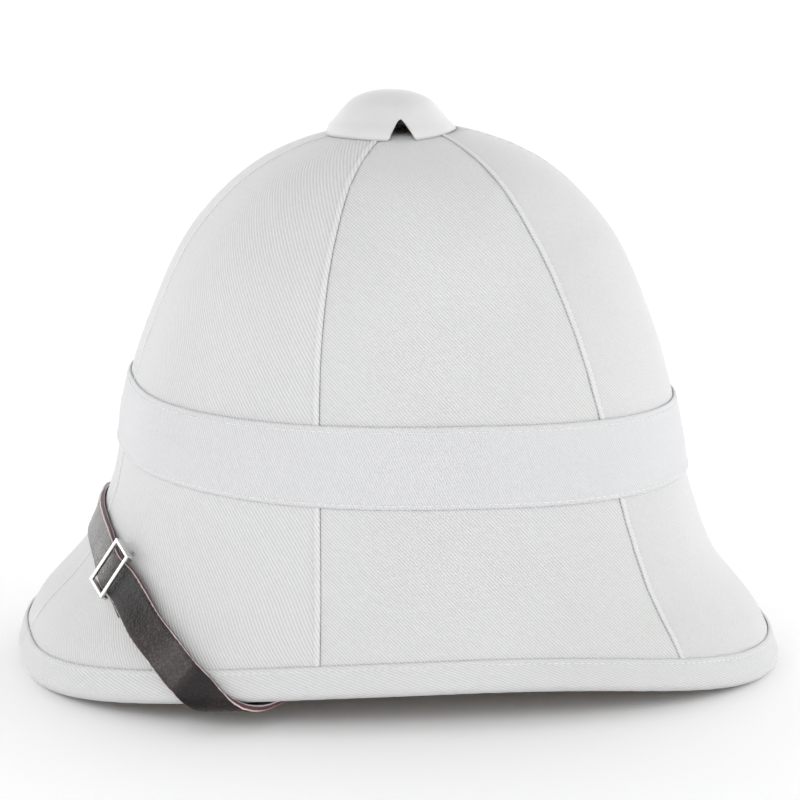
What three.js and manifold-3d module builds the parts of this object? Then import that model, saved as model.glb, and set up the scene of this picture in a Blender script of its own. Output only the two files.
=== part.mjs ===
// White pith helmet with a plain cloth band, a vent cap and a brown chin strap laid over the peak.
// Millimetres, +Z up. The front peak points to -Y and the wearer's left side to +X.
// The brim rests on the plane Z = 0, and the origin is the middle of the box there.

import * as THREE from 'three';
import { mergeVertices } from 'three/addons/utils/BufferGeometryUtils.js';
import Module from 'manifold-3d';

const manifold = await Module();
manifold.setup();

// Driving dimensions
const CROWN_HEIGHT = 236;        // cloth at the middle of the crown, above the table
const SQUARENESS = 2.6;          // exponent of the plan outline, 2 is an ellipse
const CLOTH = 1.0;               // walls of the cover, the binding and the band
const GAP = 0.3;                 // clearance between pieces that touch
const CORK = 5.0;                // wall of the moulded body
const SHIFT_Y = 0.9;             // brings the middle of the box to the origin

// Outer face of the cover, by depth below the middle of the crown
const SECTIONS = [
  { depth: 0, front: 0, back: 0, side: 0 },
  { depth: 12, front: 53.6, back: 53.2, side: 46 },
  { depth: 40, front: 87.5, back: 86, side: 73 },
  { depth: 80, front: 108.5, back: 106, side: 92.5 },
  { depth: 120, front: 121, back: 118, side: 102 },
  { depth: 160, front: 127.5, back: 126.5, side: 108.5 },
  { depth: 190, front: 140.5, back: 139.5, side: 114.5 },
  { depth: 215, front: 162, back: 159, side: 121 },
  { depth: 240, front: 169.5, back: 169, side: 125 },
];

// Seams of the cover, as directions seen from above: 0 is the front, 90 the wearer's left
const SEAMS = [
  { crown: 0, brim: 0 },
  { crown: 57.5, brim: 66.1 },
  { crown: 119, brim: 135.6 },
  { crown: 180, brim: 180 },
  { crown: 241, brim: 224.4 },
  { crown: 302.5, brim: 293.9 },
];
const PANELS = [
  { name: 'cover_front_left' },
  { name: 'cover_side_left' },
  { name: 'cover_back_left' },
  { name: 'cover_back_right' },
  { name: 'cover_side_right' },
  { name: 'cover_front_right' },
];

// The edge of the brim rests at the front and the back, and arches up beside the ears
const ARCH = { rise: 13.2, frontPower: 2.0, backPower: 4.2, flatShare: 0.02 };
const REST_FLAT = 0.3;           // how far the rounded edge is pressed flat on the table

// The band round the crown, by depth: a middle value and two waves round the hat
const BAND = {
  top: { middle: 113, lean: 2.5, saddle: 0.4 },
  bottom: { middle: 145.5, lean: 3.0, saddle: 1.8 },
};
const BINDING = { outside: 9.5, inside: 9 };   // height of its two legs above the rounding

// The vent in the crown: a hole, a collar in it, and the cap that the collar carries
const VENT = { y: -5.4, hole: 9.3, collar: 7.2, collarWall: 1.5, bottom: 227 };
const CAP = { base: 233.1, wall: 1.6, segments: 30 };
const CAP_PROFILE = [
  { radius: 28.6, height: 0 },
  { radius: 27.4, height: 2.4 },
  { radius: 24.4, height: 5.6 },
  { radius: 21.6, height: 9.1 },
  { radius: 17.6, height: 13.2 },
  { radius: 13.2, height: 15.5 },
  { radius: 8.8, height: 16.9 },
  { radius: 0, height: 17.7 },
];
const NOTCH = { width: 11.6, topWidth: 3.8, height: 8, foot: 231.5, reach: 14 };

// Half of the chin strap, from the front over the peak, round the edge and up the inside.
// turn is the place round the hat. up is the way above the rounding outside, and runs on below
// zero round the edge and up the inside. clear is the space under the strap. The right half lies
// a little higher and flatter, because the buckle and the tail are on the left one.
const AT_EDGE = 2.3;
const STRAP = { width: 16, thickness: 2.4, across: 4, end: 12 };
const STRAP_STEPS = [
  { from: -STRAP.end, to: -9.6, count: 5 },
  { from: -9.6, to: -6.6, count: 15 },
  { from: -6.6, to: 6.6, count: 24 },
  { from: 6.6, to: 9.6, count: 15 },
  { from: 9.6, to: STRAP.end, count: 5 },
];
const STRAP_ROUTE = [
  { turn: 0, up: 54.8, clear: 0.8, upRight: 54.8, clearRight: 0.8 },
  { turn: 7.5, up: 53.1, clear: 1.0, upRight: 56.0, clearRight: 0.6 },
  { turn: 13, up: 50.8, clear: 1.8, upRight: 55.5, clearRight: 0.7 },
  { turn: 25, up: 42.8, clear: 2.5, upRight: 50.5, clearRight: 1.0 },
  { turn: 33, up: 34.5, clear: 2.5, upRight: 43.0, clearRight: 1.4 },
  { turn: 39.5, up: 26.6, clear: 2.2, upRight: 34.5, clearRight: 1.7 },
  { turn: 48, up: 16.2, clear: 2.2, upRight: 22.0, clearRight: 2.1 },
  { turn: 55, up: 5.1, clear: AT_EDGE, upRight: 9.5, clearRight: AT_EDGE },
  { turn: 61, up: -5.6, clear: AT_EDGE, upRight: -2.0, clearRight: AT_EDGE },
  { turn: 67, up: -15.5, clear: AT_EDGE, upRight: -13.5, clearRight: AT_EDGE },
  { turn: 73, up: -27, clear: AT_EDGE, upRight: -26.5, clearRight: AT_EDGE },
  { turn: 80, up: -42, clear: 1.5, upRight: -42.0, clearRight: 1.5 },
  { turn: 87, up: -60, clear: 1.2, upRight: -60.0, clearRight: 1.2 },
];
const BUCKLE = {
  place: 2.7, length: 16.5, width: 22.0, bar: 2.0, plate: 1.4,
  top: 7.4, barBottom: 6.0, plateBottom: 4.0, centreTop: 2.05, centreBottom: 1.35, centreBar: 1.6,
};
const TAIL = { start: 2.78, end: 4.05, width: 15, thickness: 1.1, clear: 0.9, shift: -1.6 };
const POST = { place: 11.75, shank: 2.2, hole: 2.5, head: 6, headHeight: 1.4 };

// Facets
const PANEL_COLUMNS = 8;
const COLUMNS = PANEL_COLUMNS * SEAMS.length;
const CROWN_ROWS = [0.0001, 0.012, 0.05, 0.13, 0.25, 0.42, 0.62, 0.82];
const BRIM_ROWS = [0, 0.27, 0.5, 0.7, 0.86, 1];

// Worked out from the sizes above
const DEGREE = Math.PI / 180;
const BARE_WALL = CLOTH + GAP + CORK;
const EDGE_RADIUS = BARE_WALL / 2;
const BINDING_OUT = GAP + CLOTH;
const EDGE_ARC = Math.PI * (EDGE_RADIUS + AT_EDGE);

// Radius of the cover by depth: a cubic through the squared radii, so that the crown is round
function sectionRadius(column, depth) {
  const last = SECTIONS.length - 1;
  const value = SECTIONS.map((row) => row[column] ** 2);
  const step = SECTIONS.slice(1).map((row, i) => row.depth - SECTIONS[i].depth);
  const slope = step.map((width, i) => (value[i + 1] - value[i]) / width);
  const tangent = value.map((unused, i) => {
    if (i === 0 || i === last) return 0;
    return (step[i - 1] * slope[i] + step[i] * slope[i - 1]) / (step[i - 1] + step[i]);
  });
  tangent[0] = 2 * slope[0] - tangent[1];
  tangent[last] = 2 * slope[last - 1] - tangent[last - 1];
  let i = 0;
  while (i < last - 1 && depth > SECTIONS[i + 1].depth) i += 1;
  const t = (depth - SECTIONS[i].depth) / step[i];
  const squared = value[i] * (2 * t ** 3 - 3 * t ** 2 + 1)
    + step[i] * tangent[i] * (t ** 3 - 2 * t ** 2 + t)
    + value[i + 1] * (3 * t ** 2 - 2 * t ** 3)
    + step[i] * tangent[i + 1] * (t ** 3 - t ** 2);
  return Math.sqrt(Math.max(squared, 1e-6));
}

function signedPower(value) {
  return Math.sign(value) * Math.abs(value) ** (2 / SQUARENESS);
}

function clothPoint(turn, depth) {
  const reach = sectionRadius(Math.cos(turn) >= 0 ? 'front' : 'back', depth);
  const x = sectionRadius('side', depth) * signedPower(Math.sin(turn));
  const y = -reach * signedPower(Math.cos(turn));
  return new THREE.Vector3(x, y + SHIFT_Y, CROWN_HEIGHT - depth);
}

function downTheCloth(turn, depth) {
  const above = clothPoint(turn, Math.max(depth - 0.2, 0.01));
  return clothPoint(turn, depth + 0.2).sub(above).normalize();
}

function clothNormal(turn, depth) {
  const around = clothPoint(turn + 0.01, depth).sub(clothPoint(turn - 0.01, depth));
  return downTheCloth(turn, depth).cross(around).normalize();
}

function offsetPoint(turn, depth, outward) {
  return clothPoint(turn, depth).addScaledVector(clothNormal(turn, depth), outward);
}

// The plan outline runs by a parameter, and a direction seen from above is turned into it here
function turnFor(direction, depth) {
  const angle = direction * DEGREE;
  const reach = sectionRadius(Math.cos(angle) >= 0 ? 'front' : 'back', depth);
  const ratio = Math.abs(Math.tan(angle)) * reach / sectionRadius('side', depth);
  const quarter = Math.atan(ratio ** (SQUARENESS / 2));
  const half = Math.cos(angle) >= 0 ? quarter : Math.PI - quarter;
  return direction <= 180 ? half : 2 * Math.PI - half;
}

function edgeDepth(turn) {
  const power = Math.cos(turn) >= 0 ? ARCH.frontPower : ARCH.backPower;
  const share = Math.abs(Math.sin(turn)) ** power;
  return CROWN_HEIGHT - ARCH.rise * Math.max(0, (share - ARCH.flatShare) / (1 - ARCH.flatShare));
}

// Depth at which the face of the brim gives way to its rounded edge
function roundingDepth(turn) {
  const edge = edgeDepth(turn);
  const lean = clothNormal(turn, edge - 2 * EDGE_RADIUS).z;
  return edge - EDGE_RADIUS * (1 + lean) - BINDING_OUT + REST_FLAT;
}

function bandDepth(line, turn) {
  return line.middle - line.lean * Math.cos(turn) - line.saddle * Math.cos(2 * turn);
}

// A point off the rounded edge of the brim, at an angle from its outer to its inner face
function edgePoint(turn, angle, out) {
  const depth = roundingDepth(turn);
  return offsetPoint(turn, depth, -EDGE_RADIUS)
    .addScaledVector(clothNormal(turn, depth), Math.cos(angle) * (EDGE_RADIUS + out))
    .addScaledVector(downTheCloth(turn, depth), Math.sin(angle) * (EDGE_RADIUS + out));
}

// A point off the brim or crown: up the outside, or below zero round the edge and up the inside
function skinPoint(turn, up, out) {
  const depth = roundingDepth(turn);
  if (up >= 0) return offsetPoint(turn, depth - up, out);
  if (up > -EDGE_ARC) return edgePoint(turn, -up / EDGE_ARC * Math.PI, out);
  return offsetPoint(turn, depth + up + EDGE_ARC, -BARE_WALL - out);
}

// Depths of the rows of facets at a turn, with rows along the edges of the band
function coverDepths(turn) {
  const top = bandDepth(BAND.top, turn);
  const bottom = bandDepth(BAND.bottom, turn);
  const end = roundingDepth(turn);
  return [
    ...CROWN_ROWS.map((share) => share * top),
    top,
    ...BRIM_ROWS.map((share) => bottom + share * (end - BINDING.outside - bottom)),
    end,
  ];
}

function seamTurn(number, depth) {
  const seam = SEAMS[number % SEAMS.length];
  const lap = number >= SEAMS.length ? 2 * Math.PI : 0;
  return turnFor(seam.crown + (seam.brim - seam.crown) * depth / CROWN_HEIGHT, depth) + lap;
}

// The places of one column of facets, which bends as the seams beside it do
function columnRows(panel, share) {
  const turnAt = (depth) => {
    const start = seamTurn(panel, depth);
    return start + (seamTurn(panel + 1, depth) - start) * share;
  };
  const guess = coverDepths(turnAt(BAND.bottom.middle));
  return guess.map((rough, row) => {
    const depth = coverDepths(turnAt(rough))[row];
    return { turn: turnAt(depth), depth };
  });
}

function hatColumns() {
  return Array.from({ length: COLUMNS }, (unused, column) => {
    const panel = Math.floor(column / PANEL_COLUMNS);
    return columnRows(panel, column / PANEL_COLUMNS - panel);
  });
}

const columns = hatColumns();
const bandRow = CROWN_ROWS.length;

// Bodies from loops of points and from lathe profiles

function signedVolume(positions, index) {
  const corner = (i) => new THREE.Vector3().fromArray(positions, index[i] * 3);
  let total = 0;
  for (let i = 0; i < index.length; i += 3) {
    total += corner(i).dot(corner(i + 1).cross(corner(i + 2)));
  }
  return total;
}

function facingOut(positions, index) {
  const geometry = new THREE.BufferGeometry();
  geometry.setAttribute('position', new THREE.Float32BufferAttribute(positions, 3));
  geometry.setIndex(signedVolume(positions, index) < 0 ? [...index].reverse() : index);
  return geometry;
}

// A body through a row of loops of one size, closed round or capped at both ends.
// Each loop goes out along one face and comes back along the other, which lets the caps be strips.
// A four-sided facet is split along its shorter diagonal, so that layers split alike.
function sweep(loops, closed) {
  const size = loops[0].length;
  const index = [];
  const spans = closed ? loops.length : loops.length - 1;
  for (let i = 0; i < spans; i += 1) {
    const next = (i + 1) % loops.length;
    for (let j = 0; j < size; j += 1) {
      const k = (j + 1) % size;
      const [a, b, c, d] = [i * size + j, i * size + k, next * size + k, next * size + j];
      const shortAC = loops[i][j].distanceTo(loops[next][k]) < loops[i][k].distanceTo(loops[next][j]);
      index.push(...(shortAC ? [a, b, c, a, c, d] : [a, b, d, b, c, d]));
    }
  }
  if (!closed) {
    const end = (loops.length - 1) * size;
    for (let j = 0; j < size / 2 - 1; j += 1) {
      const [a, b, c, d] = [j, j + 1, size - 2 - j, size - 1 - j];
      index.push(a, c, b, a, d, c);
      index.push(end + a, end + b, end + c, end + a, end + c, end + d);
    }
  }
  const positions = loops.flat().flatMap((point) => point.toArray());
  return facingOut(positions, index);
}

function weld(geometry) {
  const bare = geometry.clone();
  bare.deleteAttribute('normal');
  bare.deleteAttribute('uv');
  const merged = mergeVertices(bare, 1e-4);
  const index = [];
  for (let i = 0; i < merged.index.count; i += 3) {
    const [a, b, c] = [0, 1, 2].map((corner) => merged.index.getX(i + corner));
    if (a !== b && b !== c && c !== a) index.push(a, b, c);
  }
  return facingOut([...merged.attributes.position.array], index);
}

function lathe(profile, segments) {
  const points = profile.map(({ radius, height }) => new THREE.Vector2(radius, height));
  return weld(new THREE.LatheGeometry(points, segments).rotateX(Math.PI / 2));
}

function toSolid(geometry) {
  const welded = weld(geometry);
  return new manifold.Manifold(new manifold.Mesh({
    numProp: 3,
    vertProperties: new Float32Array(welded.attributes.position.array),
    triVerts: new Uint32Array(welded.index.array),
  }));
}

function fromSolid(solid) {
  const mesh = solid.getMesh();
  const geometry = new THREE.BufferGeometry();
  geometry.setAttribute('position', new THREE.Float32BufferAttribute(mesh.vertProperties, 3));
  geometry.setIndex([...mesh.triVerts]);
  return geometry;
}

function cut(geometry, tools) {
  return fromSolid(tools.reduce((solid, tool) => solid.subtract(toSolid(tool)), toSolid(geometry)));
}

function join(geometries) {
  const [first, ...others] = geometries.map(toSolid);
  return fromSolid(others.reduce((solid, other) => solid.add(other), first));
}

function block(low, high) {
  const size = high.map((value, i) => value - low[i]);
  const middle = high.map((value, i) => (value + low[i]) / 2);
  return new THREE.BoxGeometry(...size).translate(...middle);
}

// The moulded body, its cover, band and binding

function corkBody() {
  const loops = columns.map((rows) => {
    const end = rows[rows.length - 1];
    const normal = clothNormal(end.turn, end.depth);
    const down = downTheCloth(end.turn, end.depth);
    const centre = offsetPoint(end.turn, end.depth, -BINDING_OUT - CORK / 2);
    const outside = rows.map(({ turn, depth }) => offsetPoint(turn, depth, -BINDING_OUT));
    const round = [45, 90, 135].map((angle) => centre.clone()
      .addScaledVector(normal, Math.cos(angle * DEGREE) * CORK / 2)
      .addScaledVector(down, Math.sin(angle * DEGREE) * CORK / 2));
    const inside = rows
      .filter((unused, row) => row % 2 === 0 || row > bandRow)
      .map(({ turn, depth }) => offsetPoint(turn, depth, -BARE_WALL));
    return [...outside, ...round, ...inside.reverse()];
  });
  const hole = new THREE.CylinderGeometry(VENT.hole, VENT.hole, 40, 24).rotateX(Math.PI / 2);
  hole.translate(0, VENT.y, CROWN_HEIGHT);
  return cut(sweep(loops, true), [hole]);
}

function coverPanel(panel) {
  const loops = [];
  for (let column = 0; column <= PANEL_COLUMNS; column += 1) {
    const rows = columnRows(panel, column / PANEL_COLUMNS).slice(1);
    const side = Number(column === 0) - Number(column === PANEL_COLUMNS);
    const places = rows.map(({ turn, depth }) => {
      const around = clothPoint(turn + 0.01, depth).distanceTo(clothPoint(turn - 0.01, depth));
      return { turn: turn + side * (GAP / 2) * 0.02 / around, depth };
    });
    const outside = places.map(({ turn, depth }) => offsetPoint(turn, depth, 0));
    const inside = places.map(({ turn, depth }) => offsetPoint(turn, depth, -CLOTH));
    loops.push([...outside, ...inside.reverse()]);
  }
  return sweep(loops, false);
}

function hatBand() {
  const loops = columns.map((rows) => {
    const places = rows.slice(bandRow, bandRow + 2);
    const outside = places.map(({ turn, depth }) => offsetPoint(turn, depth, GAP + CLOTH));
    const inside = places.map(({ turn, depth }) => offsetPoint(turn, depth, GAP));
    return [...outside, ...inside.reverse()];
  });
  return sweep(loops, true);
}

function brimBinding() {
  const outerAngles = Array.from({ length: 9 }, (unused, i) => i * 22.5 * DEGREE);
  const innerAngles = Array.from({ length: 5 }, (unused, i) => (180 - i * 45) * DEGREE);
  const loops = columns.map((rows) => {
    const { turn } = rows[rows.length - 1];
    const depth = roundingDepth(turn);
    const outer = depth - BINDING.outside;
    const inner = depth - BINDING.inside;
    const points = [
      offsetPoint(turn, outer, BINDING_OUT),
      ...outerAngles.map((angle) => edgePoint(turn, angle, BINDING_OUT)),
      offsetPoint(turn, inner, -BARE_WALL - BINDING_OUT),
      offsetPoint(turn, inner, -BARE_WALL - GAP),
      ...innerAngles.map((angle) => edgePoint(turn, angle, GAP)),
      offsetPoint(turn, outer, GAP),
    ];
    points.forEach((point) => { point.z = Math.max(point.z, 0); });
    return points;
  });
  return sweep(loops, true);
}

// The vent

// Height of the cover over a point of the plan, found by halving the range of depths
function coverHeight(x, y) {
  let low = 0;
  let high = 100;
  for (let i = 0; i < 30; i += 1) {
    const depth = (low + high) / 2;
    const reach = sectionRadius(y <= SHIFT_Y ? 'front' : 'back', depth);
    const inX = (Math.abs(x) / sectionRadius('side', depth)) ** SQUARENESS;
    const inY = (Math.abs(y - SHIFT_Y) / reach) ** SQUARENESS;
    if (inX + inY > 1) low = depth;
    else high = depth;
  }
  return CROWN_HEIGHT - low;
}

function notchTool(side) {
  const outline = new THREE.Shape();
  outline.moveTo(-NOTCH.width / 2, -4);
  outline.lineTo(NOTCH.width / 2, -4);
  outline.lineTo(NOTCH.width / 2, 0);
  outline.lineTo(NOTCH.topWidth / 2, NOTCH.height - NOTCH.topWidth / 2);
  outline.absarc(0, NOTCH.height - NOTCH.topWidth / 2, NOTCH.topWidth / 2, 0, Math.PI, false);
  outline.lineTo(-NOTCH.width / 2, 0);
  const tool = new THREE.ExtrudeGeometry(outline, {
    depth: NOTCH.reach, bevelEnabled: false, curveSegments: 8,
  });
  tool.rotateX(Math.PI / 2).rotateZ(Math.PI / 2);
  const start = side > 0 ? CAP_PROFILE[0].radius + 2 - NOTCH.reach : -CAP_PROFILE[0].radius - 2;
  return tool.translate(start, VENT.y, NOTCH.foot);
}

function ventCap() {
  const outer = CAP_PROFILE;
  const inner = outer.map(({ radius, height }, i) => {
    const last = i === outer.length - 1;
    return { radius: last ? 0 : radius - CAP.wall, height: i === 0 ? 0 : height - CAP.wall };
  });
  const cap = lathe([...inner.reverse(), ...outer], CAP.segments);
  const place = cap.attributes.position;
  for (let i = 0; i < place.count; i += 1) {
    const x = place.getX(i);
    const y = place.getY(i) + VENT.y;
    const seat = coverHeight(x, y) + GAP;
    const rim = place.getZ(i) < 0.01;
    place.setXYZ(i, x, y, rim ? seat : Math.max(place.getZ(i) + CAP.base, seat));
  }
  return cut(cap, [notchTool(1), notchTool(-1)]);
}

function ventCollar() {
  const under = CAP.base + CAP_PROFILE[CAP_PROFILE.length - 2].height - CAP.wall - GAP;
  const profile = [
    { radius: VENT.collar - VENT.collarWall, height: VENT.bottom },
    { radius: VENT.collar, height: VENT.bottom },
    { radius: VENT.collar, height: under },
    { radius: VENT.collar - VENT.collarWall, height: under },
    { radius: VENT.collar - VENT.collarWall, height: VENT.bottom },
  ];
  return lathe(profile, 24).translate(0, VENT.y, 0);
}

// The chin strap and what is on it

// A value of the route at a place along it: whole numbers are rows, negative ones the right side
function onRoute(place, column) {
  const value = (i) => {
    const row = STRAP_ROUTE[Math.min(Math.abs(i), STRAP.end)];
    if (i >= 0) return row[column];
    return column === 'turn' ? -row.turn : row[`${column}Right`];
  };
  const i = Math.min(Math.floor(place), STRAP.end - 1);
  const t = place - i;
  const [before, from, to, after] = [value(i - 1), value(i), value(i + 1), value(i + 2)];
  return 0.5 * (2 * from + (to - before) * t
    + (2 * before - 5 * from + 4 * to - after) * t ** 2
    + (3 * from - before - 3 * to + after) * t ** 3);
}

// How a point of the skin moves with its turn and with its way up, for each unit of either
function skinSteps(turn, up, out) {
  const round = skinPoint(turn + 0.01, up, out).sub(skinPoint(turn - 0.01, up, out));
  const rise = skinPoint(turn, up + 0.2, out).sub(skinPoint(turn, up - 0.2, out));
  return { round: round.divideScalar(0.02), rise: rise.divideScalar(0.4) };
}

// The strap's own directions at a place: along it, across it towards the crown, and off the hat
function strapFrame(place, out) {
  const turn = onRoute(place, 'turn') * DEGREE;
  const up = onRoute(place, 'up');
  const at = (p) => skinPoint(onRoute(p, 'turn') * DEGREE, onRoute(p, 'up'), out);
  const along = at(place + 0.02).sub(at(place - 0.02)).normalize();
  const { round, rise } = skinSteps(turn, up, out);
  const off = round.clone().cross(rise).normalize();
  const across = off.clone().cross(along).normalize();
  return { turn, up, along, across, off, round, rise };
}

// Turn and way up of a point beside the strap's middle line, in steps that follow the skin
function besideRoute(frame, distance, out) {
  const steps = 3;
  const step = frame.across.clone().multiplyScalar(distance / steps);
  let { turn, up } = frame;
  for (let i = 0; i < steps; i += 1) {
    const { round, rise } = skinSteps(turn, up, out);
    const area = round.clone().cross(rise);
    turn += step.clone().cross(rise).dot(area) / area.lengthSq();
    up += round.clone().cross(step).dot(area) / area.lengthSq();
  }
  return { turn, up };
}

function ribbon({ places, width, thickness, shift, clearAt }) {
  const loops = places.map((place) => {
    const clear = clearAt(place);
    const middle = clear + thickness / 2;
    const frame = strapFrame(place, middle);
    const spots = Array.from({ length: STRAP.across + 1 }, (unused, j) => (
      besideRoute(frame, shift + (j / STRAP.across - 0.5) * width, middle)));
    const under = spots.map(({ turn, up }) => skinPoint(turn, up, clear));
    const upper = spots.map(({ turn, up }) => skinPoint(turn, up, clear + thickness));
    return [...under, ...upper.reverse()];
  });
  return sweep(loops, false);
}

// Moves a body from the strap's own directions at a place to the hat
function setOnStrap(geometry, place) {
  const { turn, up, along, across, off } = strapFrame(place, 0);
  const basis = new THREE.Matrix4().makeBasis(along, across, off);
  const origin = skinPoint(turn, up, 0);
  return geometry.applyMatrix4(basis).translate(origin.x, origin.y, origin.z);
}

function evenly(from, to, count) {
  return Array.from({ length: count }, (unused, i) => from + (to - from) * i / count);
}

function chinStrap() {
  const strap = ribbon({
    places: [...STRAP_STEPS.flatMap(({ from, to, count }) => evenly(from, to, count)), STRAP.end],
    width: STRAP.width,
    thickness: STRAP.thickness,
    shift: 0,
    clearAt: (place) => onRoute(place, 'clear'),
  });
  const holes = [POST.place, -POST.place].map((place) => {
    const hole = new THREE.CylinderGeometry(POST.hole, POST.hole, 16, 16).rotateX(Math.PI / 2);
    return setOnStrap(hole, place);
  });
  return cut(strap, holes);
}

function strapTail() {
  const { start, end, width, thickness, clear, shift } = TAIL;
  const places = [...evenly(start, end, 7), end];
  return ribbon({ places, width, thickness, shift, clearAt: () => clear });
}

function slideBuckle() {
  const [long, wide] = [BUCKLE.length / 2, BUCKLE.width / 2];
  const outline = new THREE.Shape();
  outline.moveTo(-long, -wide);
  outline.lineTo(long, -wide);
  outline.lineTo(long, wide);
  outline.lineTo(-long, wide);
  const opening = new THREE.Path();
  const [openLong, openWide] = [long - BUCKLE.bar, wide - BUCKLE.plate];
  opening.moveTo(-openLong, -openWide);
  opening.lineTo(-openLong, openWide);
  opening.lineTo(openLong, openWide);
  opening.lineTo(openLong, -openWide);
  outline.holes.push(opening);
  const bars = new THREE.ExtrudeGeometry(outline, {
    depth: BUCKLE.top - BUCKLE.barBottom, bevelEnabled: false,
  }).translate(0, 0, BUCKLE.barBottom);
  const half = BUCKLE.centreBar / 2;
  const sides = [-wide, wide - BUCKLE.plate].flatMap((start) => {
    const end = start + BUCKLE.plate;
    return [
      block([-long, start, BUCKLE.plateBottom], [long, end, BUCKLE.top]),
      block([-half, start, BUCKLE.centreBottom], [half, end, BUCKLE.top]),
    ];
  });
  const centre = block([-half, -wide, BUCKLE.centreBottom], [half, wide, BUCKLE.centreTop]);
  return setOnStrap(join([bars, centre, ...sides]), BUCKLE.place);
}

function strapPost(side) {
  const { clear } = STRAP_ROUTE[STRAP_ROUTE.length - 1];
  const top = clear + STRAP.thickness + GAP;
  const profile = [
    { radius: 0, height: GAP },
    { radius: POST.shank, height: GAP },
    { radius: POST.shank, height: top },
    { radius: POST.head, height: top },
    { radius: POST.head, height: top + POST.headHeight },
    { radius: 0, height: top + POST.headHeight },
  ];
  return setOnStrap(lathe(profile, 16), POST.place * side);
}

// Materials and the assembly

const WHITE_CLOTH = { color: 0xe9e9ea, roughness: 0.9, metalness: 0 };
const MATERIALS = {
  cork: { color: 0xcbb089, roughness: 0.95, metalness: 0 },
  cover: WHITE_CLOTH,
  band: { ...WHITE_CLOTH, color: 0xe6e6ec },
  binding: { ...WHITE_CLOTH, color: 0xe4e4e5 },
  cap: { color: 0xe2e2e2, roughness: 0.55, metalness: 0 },
  leather: { color: 0x33241f, roughness: 0.45, metalness: 0 },
  chrome: { color: 0xd8d8da, roughness: 0.15, metalness: 1 },
};

const helmet = new THREE.Group();

function addPiece(name, geometry, material) {
  const mesh = new THREE.Mesh(geometry, new THREE.MeshStandardMaterial(MATERIALS[material]));
  mesh.name = name;
  helmet.add(mesh);
}

addPiece('cork_body', corkBody(), 'cork');
PANELS.forEach(({ name }, panel) => addPiece(name, coverPanel(panel), 'cover'));
addPiece('hat_band', hatBand(), 'band');
addPiece('brim_binding', brimBinding(), 'binding');
addPiece('vent_cap', ventCap(), 'cap');
addPiece('vent_collar', ventCollar(), 'chrome');
addPiece('chin_strap', chinStrap(), 'leather');
addPiece('strap_tail', strapTail(), 'leather');
addPiece('slide_buckle', slideBuckle(), 'chrome');
addPiece('strap_post_left', strapPost(1), 'chrome');
addPiece('strap_post_right', strapPost(-1), 'chrome');

export default helmet;
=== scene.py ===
import math

import bpy
import numpy as np
from mathutils import Matrix


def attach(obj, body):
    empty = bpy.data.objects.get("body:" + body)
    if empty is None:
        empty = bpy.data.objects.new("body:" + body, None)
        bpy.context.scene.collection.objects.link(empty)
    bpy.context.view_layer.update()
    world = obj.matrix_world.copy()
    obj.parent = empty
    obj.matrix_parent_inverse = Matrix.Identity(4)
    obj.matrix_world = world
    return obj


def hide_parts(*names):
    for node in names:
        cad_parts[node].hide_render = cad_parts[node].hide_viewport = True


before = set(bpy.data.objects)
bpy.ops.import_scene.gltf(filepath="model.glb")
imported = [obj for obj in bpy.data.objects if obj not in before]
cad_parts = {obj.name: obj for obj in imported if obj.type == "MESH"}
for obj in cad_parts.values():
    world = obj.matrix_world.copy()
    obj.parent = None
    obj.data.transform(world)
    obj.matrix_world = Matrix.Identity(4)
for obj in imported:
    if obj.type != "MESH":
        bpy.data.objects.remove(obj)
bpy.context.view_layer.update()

# The hat's own shape in millimetres, the same driving sizes as the solids
CROWN_HEIGHT = 236.0
SQUARENESS = 2.6
CLOTH = 1.0
GAP = 0.3
CORK = 5.0
SHIFT_Y = 0.9
DEPTH = np.array([0, 12, 40, 80, 120, 160, 190, 215, 240], float)
RADIUS = {
    "front": np.array([0, 53.6, 87.5, 108.5, 121, 127.5, 140.5, 162, 169.5]),
    "back": np.array([0, 53.2, 86, 106, 118, 126.5, 139.5, 159, 169]),
    "side": np.array([0, 46, 73, 92.5, 102, 108.5, 114.5, 121, 125]),
}
SEAMS = [(0, 0), (57.5, 66.1), (119, 135.6), (180, 180), (241, 224.4), (302.5, 293.9)]
PANELS = ["cover_front_left", "cover_side_left", "cover_back_left",
          "cover_back_right", "cover_side_right", "cover_front_right"]
ARCH_RISE, ARCH_FRONT, ARCH_BACK, ARCH_FLAT = 13.2, 2.0, 4.2, 0.02
REST_FLAT = 0.3
BAND_TOP = (113.0, 2.5, 0.4)
BAND_BOTTOM = (145.5, 3.0, 1.8)
BAND_HEIGHT = 33.5
BINDING_OUTSIDE = 9.5
VENT_Y = -5.4
VENT_HOLE = 9.3
CAP_BASE = 233.1
CAP_WALL = 1.6
CAP_RADIUS = 28.6
NOTCH_HALF, NOTCH_RISE = 5.8, 8.8
STRAP_WIDTH = 16.0
STRAP_THICK = 2.4
STRAP_AT_EDGE = 2.3
# Turn, way up and clearance on the left half, then way up and clearance on the right half
ROUTE = np.array([
    (0, 54.8, 0.8, 54.8, 0.8), (7.5, 53.1, 1.0, 56.0, 0.6), (13, 50.8, 1.8, 55.5, 0.7),
    (25, 42.8, 2.5, 50.5, 1.0), (33, 34.5, 2.5, 43.0, 1.4), (39.5, 26.6, 2.2, 34.5, 1.7),
    (48, 16.2, 2.2, 22.0, 2.1), (55, 5.1, 2.3, 9.5, 2.3), (61, -5.6, 2.3, -2.0, 2.3),
    (67, -15.5, 2.3, -13.5, 2.3), (73, -27, 2.3, -26.5, 2.3), (80, -42, 1.5, -42.0, 1.5),
    (87, -60, 1.2, -60.0, 1.2)])
BUCKLE_PLACE = 2.7
TAIL_START, TAIL_END, TAIL_ROUND = 2.82, 4.05, 0.14
TAIL_WIDTH, TAIL_THICK, TAIL_CLEAR, TAIL_SHIFT = 15.0, 1.1, 0.9, -2.4
POST_PLACE = 11.75

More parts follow.
